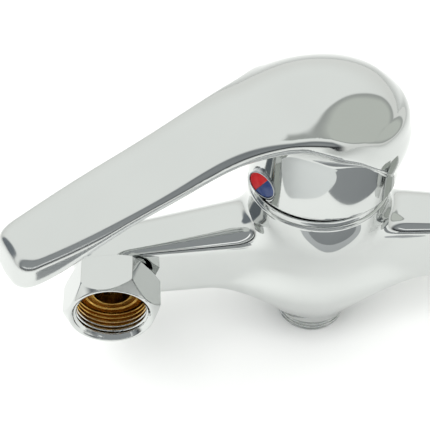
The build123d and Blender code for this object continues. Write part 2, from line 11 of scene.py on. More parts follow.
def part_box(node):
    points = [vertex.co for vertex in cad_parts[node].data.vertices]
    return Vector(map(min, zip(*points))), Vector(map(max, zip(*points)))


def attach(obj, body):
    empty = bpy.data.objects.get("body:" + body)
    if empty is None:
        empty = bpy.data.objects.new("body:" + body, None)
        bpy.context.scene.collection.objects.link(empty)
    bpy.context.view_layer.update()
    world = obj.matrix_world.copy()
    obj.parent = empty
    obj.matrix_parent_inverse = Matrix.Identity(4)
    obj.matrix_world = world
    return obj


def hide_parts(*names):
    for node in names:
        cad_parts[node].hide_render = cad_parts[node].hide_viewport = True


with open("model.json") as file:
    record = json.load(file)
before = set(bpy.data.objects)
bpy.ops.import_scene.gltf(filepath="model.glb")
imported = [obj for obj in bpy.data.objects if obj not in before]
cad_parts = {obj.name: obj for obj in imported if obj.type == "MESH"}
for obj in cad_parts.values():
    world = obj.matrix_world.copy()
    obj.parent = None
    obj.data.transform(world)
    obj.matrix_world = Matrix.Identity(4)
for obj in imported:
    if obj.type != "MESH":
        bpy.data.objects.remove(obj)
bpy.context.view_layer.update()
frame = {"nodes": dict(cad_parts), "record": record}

MM = 0.001
UP = Vector((0, 0, 1))


# ------------------------------------------------------------------ places read from the frame
def box_mm(node):
    """Lowest and highest corners of a CAD node, in millimetres."""
    low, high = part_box(node)
    return np.array(low) * 1000, np.array(high) * 1000


def joint(name):
    return next(j for j in frame["record"]["behaviour"]["joints"] if j["name"] == name)


NIPPLE_LOW, NIPPLE_HIGH = box_mm("outlet_nipple")
NUT_LOW, NUT_HIGH = box_mm("union_nut_left")

PIVOT = np.array(joint("lever_lift")["pos_m"]) * 1000  # on the cartridge axis, at the tilt pin
AXIS_Y = PIVOT[1]
INLET_X = -(NUT_LOW[0] + NUT_HIGH[0]) / 2
RIM_Z = 29.0  # top rim of the cartridge housing
OUTLET_TOP_Z, OUTLET_END_Z = -38.0, NIPPLE_LOW[2]
PITCH = 1.814  # 14 threads per inch

# the handle's own frame: x out along the lever, z up the spindle, y across
REST_LIFT = math.radians(5.0)
ARM = Vector(joint("disc_slide")["axis"])
ACROSS = UP.cross(ARM)
ALONG = ARM * math.cos(REST_LIFT) + UP * math.sin(REST_LIFT)
HANDLE_AXES = np.array([ALONG, ACROSS, ALONG.cross(ACROSS)])


# ------------------------------------------------------------------ smooth solids from fields
class Curve:
    """A smooth cubic through (position, value) pairs, flat-ended outside them."""

    def __init__(self, *points):
        self.x, self.y = np.array(points, float).T
        gap = np.diff(self.x)
        slope = np.diff(self.y) / gap
        n = len(self.x)
        rows, right = np.eye(n), np.zeros(n)
        for i in range(1, n - 1):
            rows[i, i - 1 : i + 2] = gap[i - 1], 2 * (gap[i - 1] + gap[i]), gap[i]
            right[i] = 6 * (slope[i] - slope[i - 1])
        self.bend = np.linalg.solve(rows, right)

    def __call__(self, x):
        x = np.clip(x, self.x[0], self.x[-1])
        i = np.clip(np.searchsorted(self.x, x) - 1, 0, len(self.x) - 2)
        gap = self.x[i + 1] - self.x[i]
        a, b = (self.x[i + 1] - x) / gap, (x - self.x[i]) / gap
        curl = ((a**3 - a) * self.bend[i] + (b**3 - b) * self.bend[i + 1]) * gap**2 / 6
        return a * self.y[i] + b * self.y[i + 1] + curl


def join(a, b, blend):
    """Union of two fields, with a fillet about as wide as blend."""
    h = np.clip(0.5 + 0.5 * (b - a) / blend, 0, 1)
    return b * (1 - h) + a * h - blend * h * (1 - h)


def common(a, b, blend):
    """What two fields share, with its edge rounded over about blend."""
    return -join(-a, -b, blend)


def cut(a, b, blend):
    """Field a without field b."""
    return -join(-a, b, blend)


def ramp(x, low, high):
    """Smooth rise from 0 at low to 1 at high."""
    t = np.clip((x - low) / (high - low), 0, 1)
    return t * t * (3 - 2 * t)


SLICE = 400_000  # points worked out at a time
COARSE = 4  # fine cells along a coarse one
NEAR_CELLS = 2.2  # coarse cells from the surface that are worked out finely
SETTLING_ROUNDS = 3
PROBE = 0.03  # half distance between the two readings of a slope


def field_values(field, points):
    """The field at many points, in slices that keep memory small."""
    out = np.empty(len(points))
    for start in range(0, len(points), SLICE):
        part = points[start : start + SLICE]
        out[start : start + SLICE] = field(part[:, 0], part[:, 1], part[:, 2])
    return out


def gradient(field, points):
    """Central differences of the field at points."""
    out = np.empty_like(points)
    for axis in range(3):
        shift = np.zeros(3)
        shift[axis] = PROBE
        out[:, axis] = field_values(field, points + shift) - field_values(field, points - shift)
    return out / (2 * PROBE)


def enlarged(values, shape):
    """A coarse grid repeated to the fine grid's shape."""
    for axis in range(3):
        values = np.repeat(values, COARSE, axis)
    return values[: shape[0], : shape[1], : shape[2]].copy()


def grid_values(field, axes):
    """Field on a grid; cells far from the surface keep a coarse value."""
    shape = [len(a) for a in axes]
    step = axes[0][1] - axes[0][0]
    rough_axes = [a[::COARSE] for a in axes]
    rough = np.stack(np.meshgrid(*rough_axes, indexing="ij"), -1).reshape(-1, 3)
    rough_values = field_values(field, rough).reshape([len(a) for a in rough_axes])
    values = enlarged(rough_values, shape)
    near = enlarged(np.abs(rough_values) < step * COARSE * NEAR_CELLS, shape)
    index = np.argwhere(near)
    values[near] = field_values(field, np.stack([axes[k][index[:, k]] for k in range(3)], 1))
    return values


def surface_cells(values):
    """Middle of the crossings in each cell the surface passes, and the quads between cells."""
    shape = np.array(values.shape)
    cells = shape - 1
    total, count = np.zeros((cells.prod(), 3)), np.zeros(cells.prod())
    inside = values < 0
    quads = []
    for axis in range(3):
        a = np.take(inside, range(shape[axis] - 1), axis)
        b = np.take(inside, range(1, shape[axis]), axis)
        edge = np.argwhere(a != b)
        u, v = (axis + 1) % 3, (axis + 2) % 3
        keep = (edge[:, u] > 0) & (edge[:, v] > 0)
        keep &= (edge[:, u] < shape[u] - 1) & (edge[:, v] < shape[v] - 1)
        edge = edge[keep]
        far = edge.copy()
        far[:, axis] += 1
        near_value, far_value = values[tuple(edge.T)], values[tuple(far.T)]
        crossing = edge.astype(float)
        crossing[:, axis] += near_value / (near_value - far_value)
        around = []
        for du, dv in ((0, 0), (-1, 0), (-1, -1), (0, -1)):
            cell = edge.copy()
            cell[:, u] += du
            cell[:, v] += dv
            around.append(np.ravel_multi_index(cell.T, cells))
        for corner in around:
            for k in range(3):
                total[:, k] += np.bincount(corner, crossing[:, k], len(total))
            count += np.bincount(corner, minlength=len(count))
        quad = np.stack(around, 1)
        flip = near_value > 0
        quad[flip] = quad[flip][:, ::-1]
        quads.append(quad)
    used = count > 0
    number = np.cumsum(used) - 1
    return total[used] / count[used][:, None], number[np.concatenate(quads)]


def solid_mesh(field, low, high, step):
    """Vertices, quads and normals of the surface where the field is zero."""
    axes = [np.arange(low[k], high[k] + 2 * COARSE * step, step) for k in range(3)]
    axes = [a[: len(a) // COARSE * COARSE] for a in axes]
    points, quads = surface_cells(grid_values(field, axes))
    points = points * step + [a[0] for a in axes]
    for _ in range(SETTLING_ROUNDS):  # slide every vertex down the slope onto the surface
        slope = gradient(field, points)
        length = (slope**2).sum(1) + 1e-9
        move = -(field_values(field, points) / length)[:, None] * slope
        size = np.linalg.norm(move, axis=1, keepdims=True)
        points += move * np.minimum(1, 0.5 * step / np.maximum(size, 1e-9))
    normals = gradient(field, points)
    normals /= np.linalg.norm(normals, axis=1, keepdims=True) + 1e-12
    return points, quads, normals


def add_object(name, data):
    made = bpy.data.objects.new(name, data)
    bpy.context.scene.collection.objects.link(made)
    return made


def mesh_object(name, points, faces, normals=None):
    """A smooth-shaded mesh object from points in millimetres."""
    faces = np.asarray(faces)
    mesh = bpy.data.meshes.new(name)
    mesh.vertices.add(len(points))
    mesh.vertices.foreach_set("co", np.asarray(points * MM, np.float32).ravel())
    mesh.loops.add(faces.size)
    mesh.loops.foreach_set("vertex_index", faces.astype(np.int32).ravel())
    mesh.polygons.add(len(faces))
    mesh.polygons.foreach_set("loop_start", np.arange(0, faces.size, faces.shape[1], dtype=np.int32))
    mesh.update(calc_edges=True)
    mesh.validate()
    mesh.polygons.foreach_set("use_smooth", np.ones(len(mesh.polygons), bool))
    if normals is not None:
        mesh.normals_split_custom_set_from_vertices(normals)
    return add_object(name, mesh)


def field_object(name, field, low, high, step, place=None):
    """Mesh a field; place turns its points and normals into the row's frame."""
    points, faces, normals = solid_mesh(field, low, high, step)
    if place is not None:
        axes, origin = place
        points, normals = points @ axes + origin, normals @ axes
    return mesh_object(name, points, faces, normals)


# ------------------------------------------------------------------ handle
HEAD_MIDDLE, HEAD_RADII = (5.5, 0.0, 32.1), (34.0, 28.0, 24.0)
SKIRT_R, SKIRT_TOP = 25.6, 45.0
SKIRT_BORE_R, SKIRT_BORE_TOP = 23.9, 17.0
SKIRT_BOTTOM_Z = 32.7  # level in the rest pose, in the row's frame
ROOM_R, ROOM_HEIGHT = 22.4, 18.0
HUB_R, HUB_BOTTOM = 8.0, 24.2
SOCKET_HALF, SOCKET_TOP = 4.05, 42.4
LEVER_START, LEVER_END = -14.0, 114.6
END_RAKE, END_BOW = 0.18, 0.010  # the lever's end slopes back below and is bowed across
SLOPE_EVEN = 0.95  # keeps a field near true distance where its surface slants
BUTTON_R, BUTTON_HEIGHT, BUTTON_OUT, BUTTON_BACK = 5.6, 18.4, 26.0, 24.2
BUTTON_TURN, BUTTON_TILT = math.radians(15.0), math.radians(6.0)  # towards the wall, and down
SEAT_DEPTH = 3.0
SCREW_R, SCREW_SLOPE, SCREW_DEPTH, SCREW_MOUTH = 3.0, math.radians(24.0), 23.0, 6.0

# along the lever: height of the upper edge, crown over it, half width, lower edge, belly
EDGE = Curve((-20, 33), (-8, 38.5), (0, 42.5), (12, 46.8), (25, 49.4), (44.5, 49.6), (64, 45.2),
             (84, 40.8), (104, 36.8), (118, 34.6))
CROWN = Curve((-20, 12), (-8, 12), (0, 11), (12, 8.6), (25, 6.0), (44.5, 3.6), (64, 2.8),
              (84, 2.4), (104, 2.1), (118, 1.9))
HALF_WIDTH = Curve((-20, 14), (-8, 19.5), (0, 22.5), (12, 22.3), (25, 19.2), (44.5, 14.8),
                   (64, 13.6), (84, 12.9), (98, 11.8), (118, 9.0))
LOWER = Curve((-34, 22.6), (-20, 22.9), (-11, 23.6), (-4, 29), (3, 34.9), (14.8, 42.6), (25, 45.8),
              (34, 46.6), (44.5, 46.2), (64, 41.9), (84, 36.8), (98, 31.0), (108, 27.2), (118, 25.2))
BELLY = Curve((-34, 0), (15, 0), (30, 5), (44, 5), (64, 4), (84, 3), (104, 1.2), (118, 0.8))


def ellipsoid(x, y, z, middle, radii):
    """Roughly the distance to an ellipsoid."""
    qx, qy, qz = ((v - m) / r for v, m, r in zip((x, y, z), middle, radii))
    near = np.sqrt(qx**2 + qy**2 + qz**2) + 1e-9
    steep = np.sqrt((qx / radii[0]) ** 2 + (qy / radii[1]) ** 2 + (qz / radii[2]) ** 2) + 1e-9
    return near * (near - 1) / steep


def handle_shell(x, y, z):
    """Hood, lever and skirt before the room inside is cut."""
    head = ellipsoid(x, y, z, HEAD_MIDDLE, HEAD_RADII)
    half = HALF_WIDTH(x)
    across = np.clip(np.abs(y) / half, 0, 1.3)
    top = (z - EDGE(x) - CROWN(x) * (1 - across**2)) * SLOPE_EVEN
    side = np.abs(y) - half
    end = x - LEVER_END - END_RAKE * (EDGE(x) - z) + END_BOW * y**2
    arm = common(common(side, end, 5.0), top, 1.1 + 1.7 * ramp(x, 8.0, 45.0))
    arm = common(arm, LEVER_START - x, 2.0)
    upper = join(head, arm, 5.5)
    under = LOWER(x) - BELLY(x) * (1 - np.minimum(across, 1) ** 2) - z
    upper = common(upper, under * 0.85, 1.3 + 2.2 * ramp(x, 30.0, 90.0))
    skirt = common(np.hypot(x, y) - SKIRT_R, z - SKIRT_TOP, 6.0)
    fillet = 1.0 + 6.0 * ramp(x, 4.0, 18.0)
    rise = SKIRT_BOTTOM_Z - PIVOT[2] - x * math.sin(REST_LIFT) - z * math.cos(REST_LIFT)
    return common(join(upper, skirt, fillet), rise, 0.9)


def turned_axes():
    """The button's axes in the handle's frame: across, up, out."""
    c, s = math.cos(BUTTON_TURN), math.sin(BUTTON_TURN)
    dip, drop = math.cos(BUTTON_TILT), math.sin(BUTTON_TILT)
    return np.array([[-s, c, 0], [c * drop, s * drop, dip], [c * dip, s * dip, -drop]])


BUTTON_AXES = turned_axes()


def button_axes(x, y, z):
    """Handle-frame point as seen from the index button: across, up, out."""
    place = np.stack([x - BUTTON_OUT, y, z - BUTTON_HEIGHT], -1) @ BUTTON_AXES.T
    return place[..., 0], place[..., 1], place[..., 2]


def handle_field(x, y, z):
    """The whole handle casting in its own frame."""
    solid = handle_shell(x, y, z)
    r = np.hypot(x, y)
    roof_z = HEAD_MIDDLE[2]
    roof = ellipsoid(x, y, np.maximum(z, roof_z), (0, 0, roof_z), (ROOM_R, ROOM_R, ROOM_HEIGHT))
    entry = common(r - SKIRT_BORE_R, z - SKIRT_BORE_TOP - 0.3, 0.5)
    hub = common(r - HUB_R, HUB_BOTTOM - z, 0.5)
    solid = cut(solid, cut(join(roof, entry, 1.5), hub, 1.0), 0.5)
    socket = np.maximum(np.maximum(np.abs(x), np.abs(y)) - SOCKET_HALF, z - SOCKET_TOP)
    solid = cut(solid, socket, 0.2)
    # screw hole rising from the button to the spindle, and the button's flat seat
    lean, lift = x - SKIRT_R, z - BUTTON_HEIGHT
    along = lean * math.cos(SCREW_SLOPE) - lift * math.sin(SCREW_SLOPE)
    rise = lean * math.sin(SCREW_SLOPE) + lift * math.cos(SCREW_SLOPE)
    hole = np.maximum(np.hypot(rise, y) - SCREW_R, -along - SCREW_DEPTH)
    hole = np.maximum(hole, along - SCREW_MOUTH)
    across, up, out = button_axes(x, y, z)
    seat = np.maximum(np.hypot(across, up) - BUTTON_R - 0.1, BUTTON_BACK - r)
    seat = np.maximum(seat, -SEAT_DEPTH - out)
    return cut(cut(solid, hole, 0.2), seat, 0.5)


def make_handle():
    low, high = np.array([-33.0, -32.0, 12.0]), np.array([120.0, 32.0, 60.0])
    step = 0.65
    piece = field_object("handle_casting", handle_field, low, high, step, (HANDLE_AXES, PIVOT))
    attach(piece, "lever")
    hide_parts("handle")
    return piece


# ------------------------------------------------------------------ body
WALL_FACE = Curve((0, 18.8), (28, 18.2), (60, 17.6), (75, 17.4), (95, 17.5))
FRONT_FACE = Curve((0, 48.5), (28, 44.0), (50, 40.0), (75, 35.9), (95, 33.6))
ARM_TOP = Curve((0, 17.8), (28, 16.3), (50, 14.6), (75, 12.6), (95, 11.0))
ARM_BOTTOM = Curve((0, -17.0), (28, -15.4), (50, -13.7), (75, -12.0), (95, -10.6))
# rounding of the bar's wall-side edges
WALL_CORNER = Curve((0, 8.5), (28, 7.8), (50, 5.6), (75, 3.2), (95, 3.0))
# radius of the housing over its height, and how much wider than deep it is
TULIP = Curve((-42, 13.7), (-38, 14.2), (-28, 17.4), (-10, 20.4), (6, 21.6), (14, 23.8), (20, 24.9),
              (29, 25.0), (34, 25.0))
WIDEN = Curve((-42, 1.01), (-38, 1.03), (-33, 1.09), (-24, 1.12), (-10, 1.06), (4, 1.0), (34, 1.0))
FRONT_ROUNDING = 0.92  # of half the bar's depth
RIGHT_SHARPER = 0.3  # the right arm's wall-side edges are rounded by this much less
ARM_END, ARM_END_ROUNDING = 90.5, 13.0
TOP_BLEND, LOW_BLEND = 9.0, 23.0  # fillets between housing and bar, above and below
NECK_R, NECK_Y, NECK_END_Y = 12.0, 15.9, 30.0  # short collar behind each nut

# rooms inside the casting
CARTRIDGE_R, CARTRIDGE_FLOOR_Z = 17.5, 4.0
RETAINER_R, RETAINER_FLOOR_Z = 20.0, 18.0
SHANK_R, SHANK_END_Y = 9.9, 24.0
WELL_R, WELL_END_Y = 6.5, 30.5
CHANNEL_R, CHANNEL_Y, CHANNEL_START_X = 5.0, 27.0, 4.5
PORT_R, PORT_X, PORT_BACK, PORT_TOP_Z = 3.0, 7.5, 5.7, 6.0
DRAIN_R, DRAIN_FORWARD, DRAIN_END_Z = 3.5, 7.0, -16.0
STEM_R, STEM_TOP_Z = 9.0, -28.0
OUTLET_BORE_R, TANK_TOP_Z = 6.8, -10.0


def arm_field(x, y, z):
    """The bar: a rounded rectangle that shrinks outwards, softer in front."""
    soft = 1 - RIGHT_SHARPER * ramp(x, 5.0, 30.0)
    x = np.abs(x)
    wall, front, top, bottom = WALL_FACE(x), FRONT_FACE(x), ARM_TOP(x), ARM_BOTTOM(x)
    middle, depth = (wall + front) / 2, (front - wall) / 2
    corner = np.where(y > middle, depth * FRONT_ROUNDING, WALL_CORNER(x) * soft)
    qy = np.abs(y - middle) - depth + corner
    qz = np.abs(z - (top + bottom) / 2) - (top - bottom) / 2 + corner
    section = np.hypot(np.maximum(qy, 0), np.maximum(qz, 0)) + np.minimum(np.maximum(qy, qz), 0) - corner
    return common(section, x - ARM_END, ARM_END_ROUNDING)


def body_rooms(x, y, z):
    """Cartridge room, retaining nut's bore and waterways."""
    r = np.hypot(x, y - AXIS_Y)
    x = np.abs(x)
    inlet = np.hypot(x - INLET_X, z)
    cartridge = np.maximum(r - CARTRIDGE_R, CARTRIDGE_FLOOR_Z - z)
    channel = np.maximum(np.hypot(y - CHANNEL_Y, z) - CHANNEL_R, np.maximum(x - INLET_X, CHANNEL_START_X - x))
    port = np.hypot(x - PORT_X, y - AXIS_Y + PORT_BACK) - PORT_R
    drain = np.hypot(x, y - AXIS_Y - DRAIN_FORWARD) - DRAIN_R
    return (
        np.minimum(cartridge, np.maximum(r - RETAINER_R, RETAINER_FLOOR_Z - z)),
        np.maximum(inlet - SHANK_R, y - SHANK_END_Y),
        np.maximum(inlet - WELL_R, y - WELL_END_Y),
        channel,
        np.maximum(port, np.maximum(z - PORT_TOP_Z, -z)),
        np.maximum(drain, np.maximum(z - PORT_TOP_Z, DRAIN_END_Z - z)),
        np.maximum(r - STEM_R, z - STEM_TOP_Z),
        np.maximum(r - OUTLET_BORE_R, z - TANK_TOP_Z),
    )


def body_field(x, y, z):
    """Housing and bar blended into one casting, with its rooms cut."""
    tulip = (np.hypot(x / WIDEN(z), y - AXIS_Y) - TULIP(z)) * SLOPE_EVEN
    solid = join(tulip, arm_field(x, y, z), TOP_BLEND + (LOW_BLEND - TOP_BLEND) * ramp(-z, 0.0, 16.0))
    solid = common(common(solid, z - RIM_Z, 1.3), OUTLET_TOP_Z - z, 1.0)
    inlet = np.hypot(np.abs(x) - INLET_X, z)
    neck = common(np.maximum(inlet - NECK_R, y - NECK_END_Y), NECK_Y - y, 0.8)
    solid = join(solid, neck, 2.5)
    for room in body_rooms(x, y, z):
        solid = cut(solid, room, 0.4)
    return solid


def make_body():
    low, high = np.array([-93.0, 6.0, -41.0]), np.array([93.0, 62.0, 32.0])
    step = 0.7
    piece = field_object("body_shell", body_field, low, high, step)
    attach(piece, "body")
    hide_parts("body_casting")
    return piece


# ------------------------------------------------------------------ nuts and outlet
NUT_HALF_FLATS, NUT_LENGTH, NUT_BORE_R = 15.0, 15.6, 9.96
NUT_CREST_R, NUT_ROOT_R = 12.06, 13.15
NUT_THREAD_LENGTH, NUT_RECESS_Y = 10.6, 13.2
NUT_MOUTH_R, NUT_BACK_R, NUT_LEAD_IN_R = 14.6, 15.2, 13.95  # where chamfers meet the end faces
MOUTH_FLARE, BACK_FLARE, BEVEL = (0.829, 0.56), (0.5, 0.866), (0.7, 0.7)
OUTLET_CREST_R, OUTLET_ROOT_R, OUTLET_PLAIN_R = 13.22, 12.1, 12.7
OUTLET_FACE_R, OUTLET_SHANK_R = 12.3, 9.0
SEAL_GROOVE_R, SEAL_GROOVE_Z, SEAL_GROOVE_HALF = 7.4, -33.0, 1.0
MOUTH_R, MOUTH_SEAT_Z = 10.2, -40.8


def cone(r, edge_r, along, flare):
    """Chamfer through radius edge_r where along is 0; flare is its radial and axial slope."""
    return (r - edge_r) * flare[0] + along * flare[1]


def thread(along, angle, crest, root):
    """Radius of a true helical thread: a rounded V between crest and root."""
    phase = (along / PITCH + angle / (2 * math.pi)) % 1.0
    return crest + (root - crest) * ramp(np.abs(phase - 0.5) * 2, 0.12, 0.88)


def nut_field(x, y, z):
    """Union nut about the y axis, mouth at y = 0, one flat upwards."""
    r = np.hypot(x, z)
    slant = math.sqrt(3) / 2 * x
    hexagon = common(common(np.abs(z), np.abs(0.5 * z + slant), 0.45), np.abs(0.5 * z - slant), 0.45)
    solid = common(hexagon - NUT_HALF_FLATS, cone(r, NUT_MOUTH_R, -y, MOUTH_FLARE), 0.35)
    solid = common(solid, cone(r, NUT_BACK_R, y - NUT_LENGTH, BACK_FLARE), 0.3)
    solid = common(common(solid, -y, 0.35), y - NUT_LENGTH, 0.4)
    solid = cut(solid, r - NUT_BORE_R, 0.3)
    groove = thread(y, np.arctan2(z, x), NUT_CREST_R, NUT_ROOT_R)
    run_out = ramp(y, NUT_THREAD_LENGTH - 1.0, NUT_THREAD_LENGTH + 0.4)
    groove = groove + (NUT_CREST_R - groove) * run_out
    bore = np.maximum(r - groove, y - NUT_RECESS_Y)
    return cut(cut(solid, bore, 0.25), cone(r, NUT_LEAD_IN_R, y, BEVEL), 0.3)


def make_nuts():
    """Both nuts from one mesh."""
    low, high = np.array([-18.5, -1.2, -16.5]), np.array([18.5, 17.0, 16.5])
    step = 0.32
    points, faces, normals = solid_mesh(nut_field, low, high, step)
    pieces = []
    for name, side in (("nut_left", -1), ("nut_right", 1)):
        piece = mesh_object(name + "_hexagon", points + [side * INLET_X, 0, 0], faces, normals)
        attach(piece, name)
        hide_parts("union_" + name)
        pieces.append(piece)
    return pieces


def nipple_field(x, y, z):
    """Outlet thread about the cartridge axis."""
    y = y - AXIS_Y
    r = np.hypot(x, y)
    ridge = thread(z, np.arctan2(y, x), OUTLET_CREST_R, OUTLET_ROOT_R)
    run_out = ramp(z, OUTLET_TOP_Z - 1.5, OUTLET_TOP_Z - 0.6)
    ridge = ridge + (OUTLET_PLAIN_R - ridge) * run_out
    end_cone = cone(r, OUTLET_FACE_R, OUTLET_END_Z - z, BEVEL)
    outer = common(np.where(z > OUTLET_TOP_Z, r - OUTLET_SHANK_R, r - ridge), end_cone, 0.25)
    outer = np.maximum(outer, z - NIPPLE_HIGH[2])
    groove = np.maximum(SEAL_GROOVE_R - r, np.abs(z - SEAL_GROOVE_Z) - SEAL_GROOVE_HALF)
    outer = common(np.maximum(outer, -groove), OUTLET_END_Z - z, 0.3)
    bore = np.minimum(r - OUTLET_BORE_R, np.maximum(r - MOUTH_R, z - MOUTH_SEAT_Z))
    return cut(outer, bore, 0.4)


def make_nipple():
    low = np.array([-14.2, AXIS_Y - 14.2, OUTLET_END_Z - 1.0])
    high = np.array([14.2, AXIS_Y + 14.2, NIPPLE_HIGH[2] + 1.0])
    step = 0.33
    piece = field_object("outlet_thread", nipple_field, low, high, step)
    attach(piece, "body")
    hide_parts("outlet_nipple")
    return piece


# ------------------------------------------------------------------ turned parts
def rounded(profile, radius):
    """Profile points with each corner rounded by a short arc."""
    out = []
    for i, corner in enumerate(profile):
        corner = np.array(corner, float)
        before, after = np.array(profile[i - 1]) - corner, np.array(profile[(i + 1) % len(profile)]) - corner
        reach = min(radius, 0.45 * np.linalg.norm(before), 0.45 * np.linalg.norm(after))
        a = corner + before / np.linalg.norm(before) * reach
        b = corner + after / np.linalg.norm(after) * reach
        for t in (0, 0.25, 0.5, 0.75, 1):
            out.append((1 - t) ** 2 * a + 2 * t * (1 - t) * corner + t**2 * b)
    return np.array(out)


def turned(name, profile, centre, axis, radius, segments):
    """Closed ring turned round an axis from (radius, height) corners."""
    line = rounded(profile, radius)
    axis = np.array(axis, float)
    side = np.array([1.0, 0, 0])
    other = np.cross(axis, side)
    angles = np.linspace(0, 2 * np.pi, segments, endpoint=False)
    around = np.cos(angles)[:, None] * side + np.sin(angles)[:, None] * other
    points = line[None, :, :1] * around[:, None, :] + line[None, :, 1:] * axis + np.array(centre)
    points = points.reshape(-1, 3)
    count = len(line)
    here = np.arange(segments)[:, None] * count + np.arange(count)[None]
    there = np.roll(here, -1, 0)
    faces = np.stack([here, np.roll(here, -1, 1), np.roll(there, -1, 1), there], -1).reshape(-1, 4)
    # the outermost face of the first strip tells whether the faces look outwards
    corners = points[faces[:count]]
    normals = np.cross(corners[:, 2] - corners[:, 0], corners[:, 3] - corners[:, 1])
    middles = corners.mean(1)
    outermost = np.argmax(middles[:, 0])
    if normals[outermost] @ (middles[outermost] - np.array(centre)) < 0:
        faces = faces[:, ::-1]
    return mesh_object(name, points, faces)


DOME_R, DOME_WALL, DOME_HOLE_R, DOME_STEPS = 23.2, 1.6, 15.0, 9
TRIM_FLANGE_R, TRIM_FLANGE_TOP_Z = 24.3, 31.6
SLEEVE_R, SLEEVE_BOTTOM_Z = 19.9, 25.4


def dome_line(start_r, end_r, sphere_r):
    """(radius, height) points on a ball round the tilt axis."""
    radii = np.linspace(start_r, end_r, DOME_STEPS)
    return [(r, PIVOT[2] + math.sqrt(sphere_r**2 - r * r)) for r in radii]


def make_trim_ring():
    """Flanged ring on the rim with the ball-shaped cover that the handle rolls over."""
    meet = math.sqrt(DOME_R**2 - (TRIM_FLANGE_TOP_Z - PIVOT[2]) ** 2)
    inner = DOME_R - DOME_WALL
    inside = math.sqrt(inner**2 - (RIM_Z - PIVOT[2]) ** 2)
    profile = [(inside, SLEEVE_BOTTOM_Z), (SLEEVE_R, SLEEVE_BOTTOM_Z), (SLEEVE_R, RIM_Z),
               (TRIM_FLANGE_R, RIM_Z), (TRIM_FLANGE_R, TRIM_FLANGE_TOP_Z)]
    profile += dome_line(meet, DOME_HOLE_R, DOME_R) + dome_line(DOME_HOLE_R, inside, inner)
    piece = turned("trim_cover", profile, (0, AXIS_Y, 0), (0, 0, 1), 0.45, 256)
    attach(piece, "body")
    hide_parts("trim_ring")
    return piece


FLANGE_R, FLANGE_Y, FLANGE_END_Y = 11.7, 10.6, 13.1
LAND_START_R, LAND_END_R, LAND_SLOPE, LAND_HEIGHT = 8.6, 9.7, 0.3, 0.35  # sealing land on the flange
GROOVE_Y, GROOVE_HALF, GROOVE_DEPTH = 20.6, 1.0, 1.6


def make_tail(side):
    """Flanged brass tail, with a broken edge and a raised sealing land on its face."""
    land_y = FLANGE_Y + LAND_HEIGHT
    groove_r = SHANK_R - GROOVE_DEPTH
    groove_start, groove_end = GROOVE_Y - GROOVE_HALF, GROOVE_Y + GROOVE_HALF
    profile = [(WELL_R, FLANGE_Y), (LAND_START_R, FLANGE_Y), (LAND_START_R + LAND_SLOPE, land_y),
               (LAND_END_R - LAND_SLOPE, land_y), (LAND_END_R, FLANGE_Y), (FLANGE_R, FLANGE_Y),
               (FLANGE_R, FLANGE_END_Y), (SHANK_R, FLANGE_END_Y), (SHANK_R, groove_start),
               (groove_r, groove_start), (groove_r, groove_end), (SHANK_R, groove_end),
               (SHANK_R, SHANK_END_Y), (WELL_R, SHANK_END_Y)]
    name = "left" if side < 0 else "right"
    piece = turned("tail_" + name, profile, (side * INLET_X, 0, 0), (0, 1, 0), 0.3, 192)
    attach(piece, "body")
    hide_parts("inlet_tail_" + name)
    return piece


# ------------------------------------------------------------------ index button
INDEX_SPLIT = math.radians(58.0)  # lean of the line between the two colours
CUP_LIP, CUP_DEPTH = 0.5, 0.45


def behind_button(x, y, z):
    """Distance outside the skirt's seat, for a point in the button's axes."""
    place = np.stack([x, y, z], -1) @ BUTTON_AXES
    return BUTTON_BACK + 0.08 - np.hypot(place[..., 0] + BUTTON_OUT, place[..., 1])


def index_cup(x, y, z):
    """Shallow cup that carries the two coloured halves, with a raised rim."""
    r = np.hypot(x, y)
    disc = common(common(r - BUTTON_R, z - 0.2, 0.45), behind_button(x, y, z), 0.1)
    return cut(disc, np.maximum(r - BUTTON_R + CUP_LIP, -CUP_DEPTH - z), 0.2)


def index_half(turn):
    """Half of the coloured face, slightly crowned."""
    def field(x, y, z):
        r = np.hypot(x, y)
        lid = common(r - BUTTON_R + CUP_LIP + 0.05, z - 0.22 + 0.014 * r * r, 0.35)
        half = -(x * math.cos(turn + math.pi / 2) + y * math.sin(turn + math.pi / 2)) + 0.03
        return common(common(lid, 0.03 - CUP_DEPTH - z, 0.1), half, 0.15)
    return field


def make_index():
    place = BUTTON_AXES @ HANDLE_AXES, np.array([BUTTON_OUT, 0, BUTTON_HEIGHT]) @ HANDLE_AXES + PIVOT
    low, high = np.array([-6.3, -6.3, -3.6]), np.array([6.3, 6.3, 1.2])
    step = 0.13
    pieces = []
    for name, field, node, slot in (
        ("index_cup", index_cup, "index_carrier", "index_rim"),
        ("index_hot", index_half(INDEX_SPLIT), "index_red", "index_red"),
        ("index_cold", index_half(INDEX_SPLIT + math.pi), "index_blue", "index_blue"),
    ):
        piece = field_object(name, field, low, high, step, place)
        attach(piece, "lever")
        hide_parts(node)
        pieces.append(piece)
    return pieces


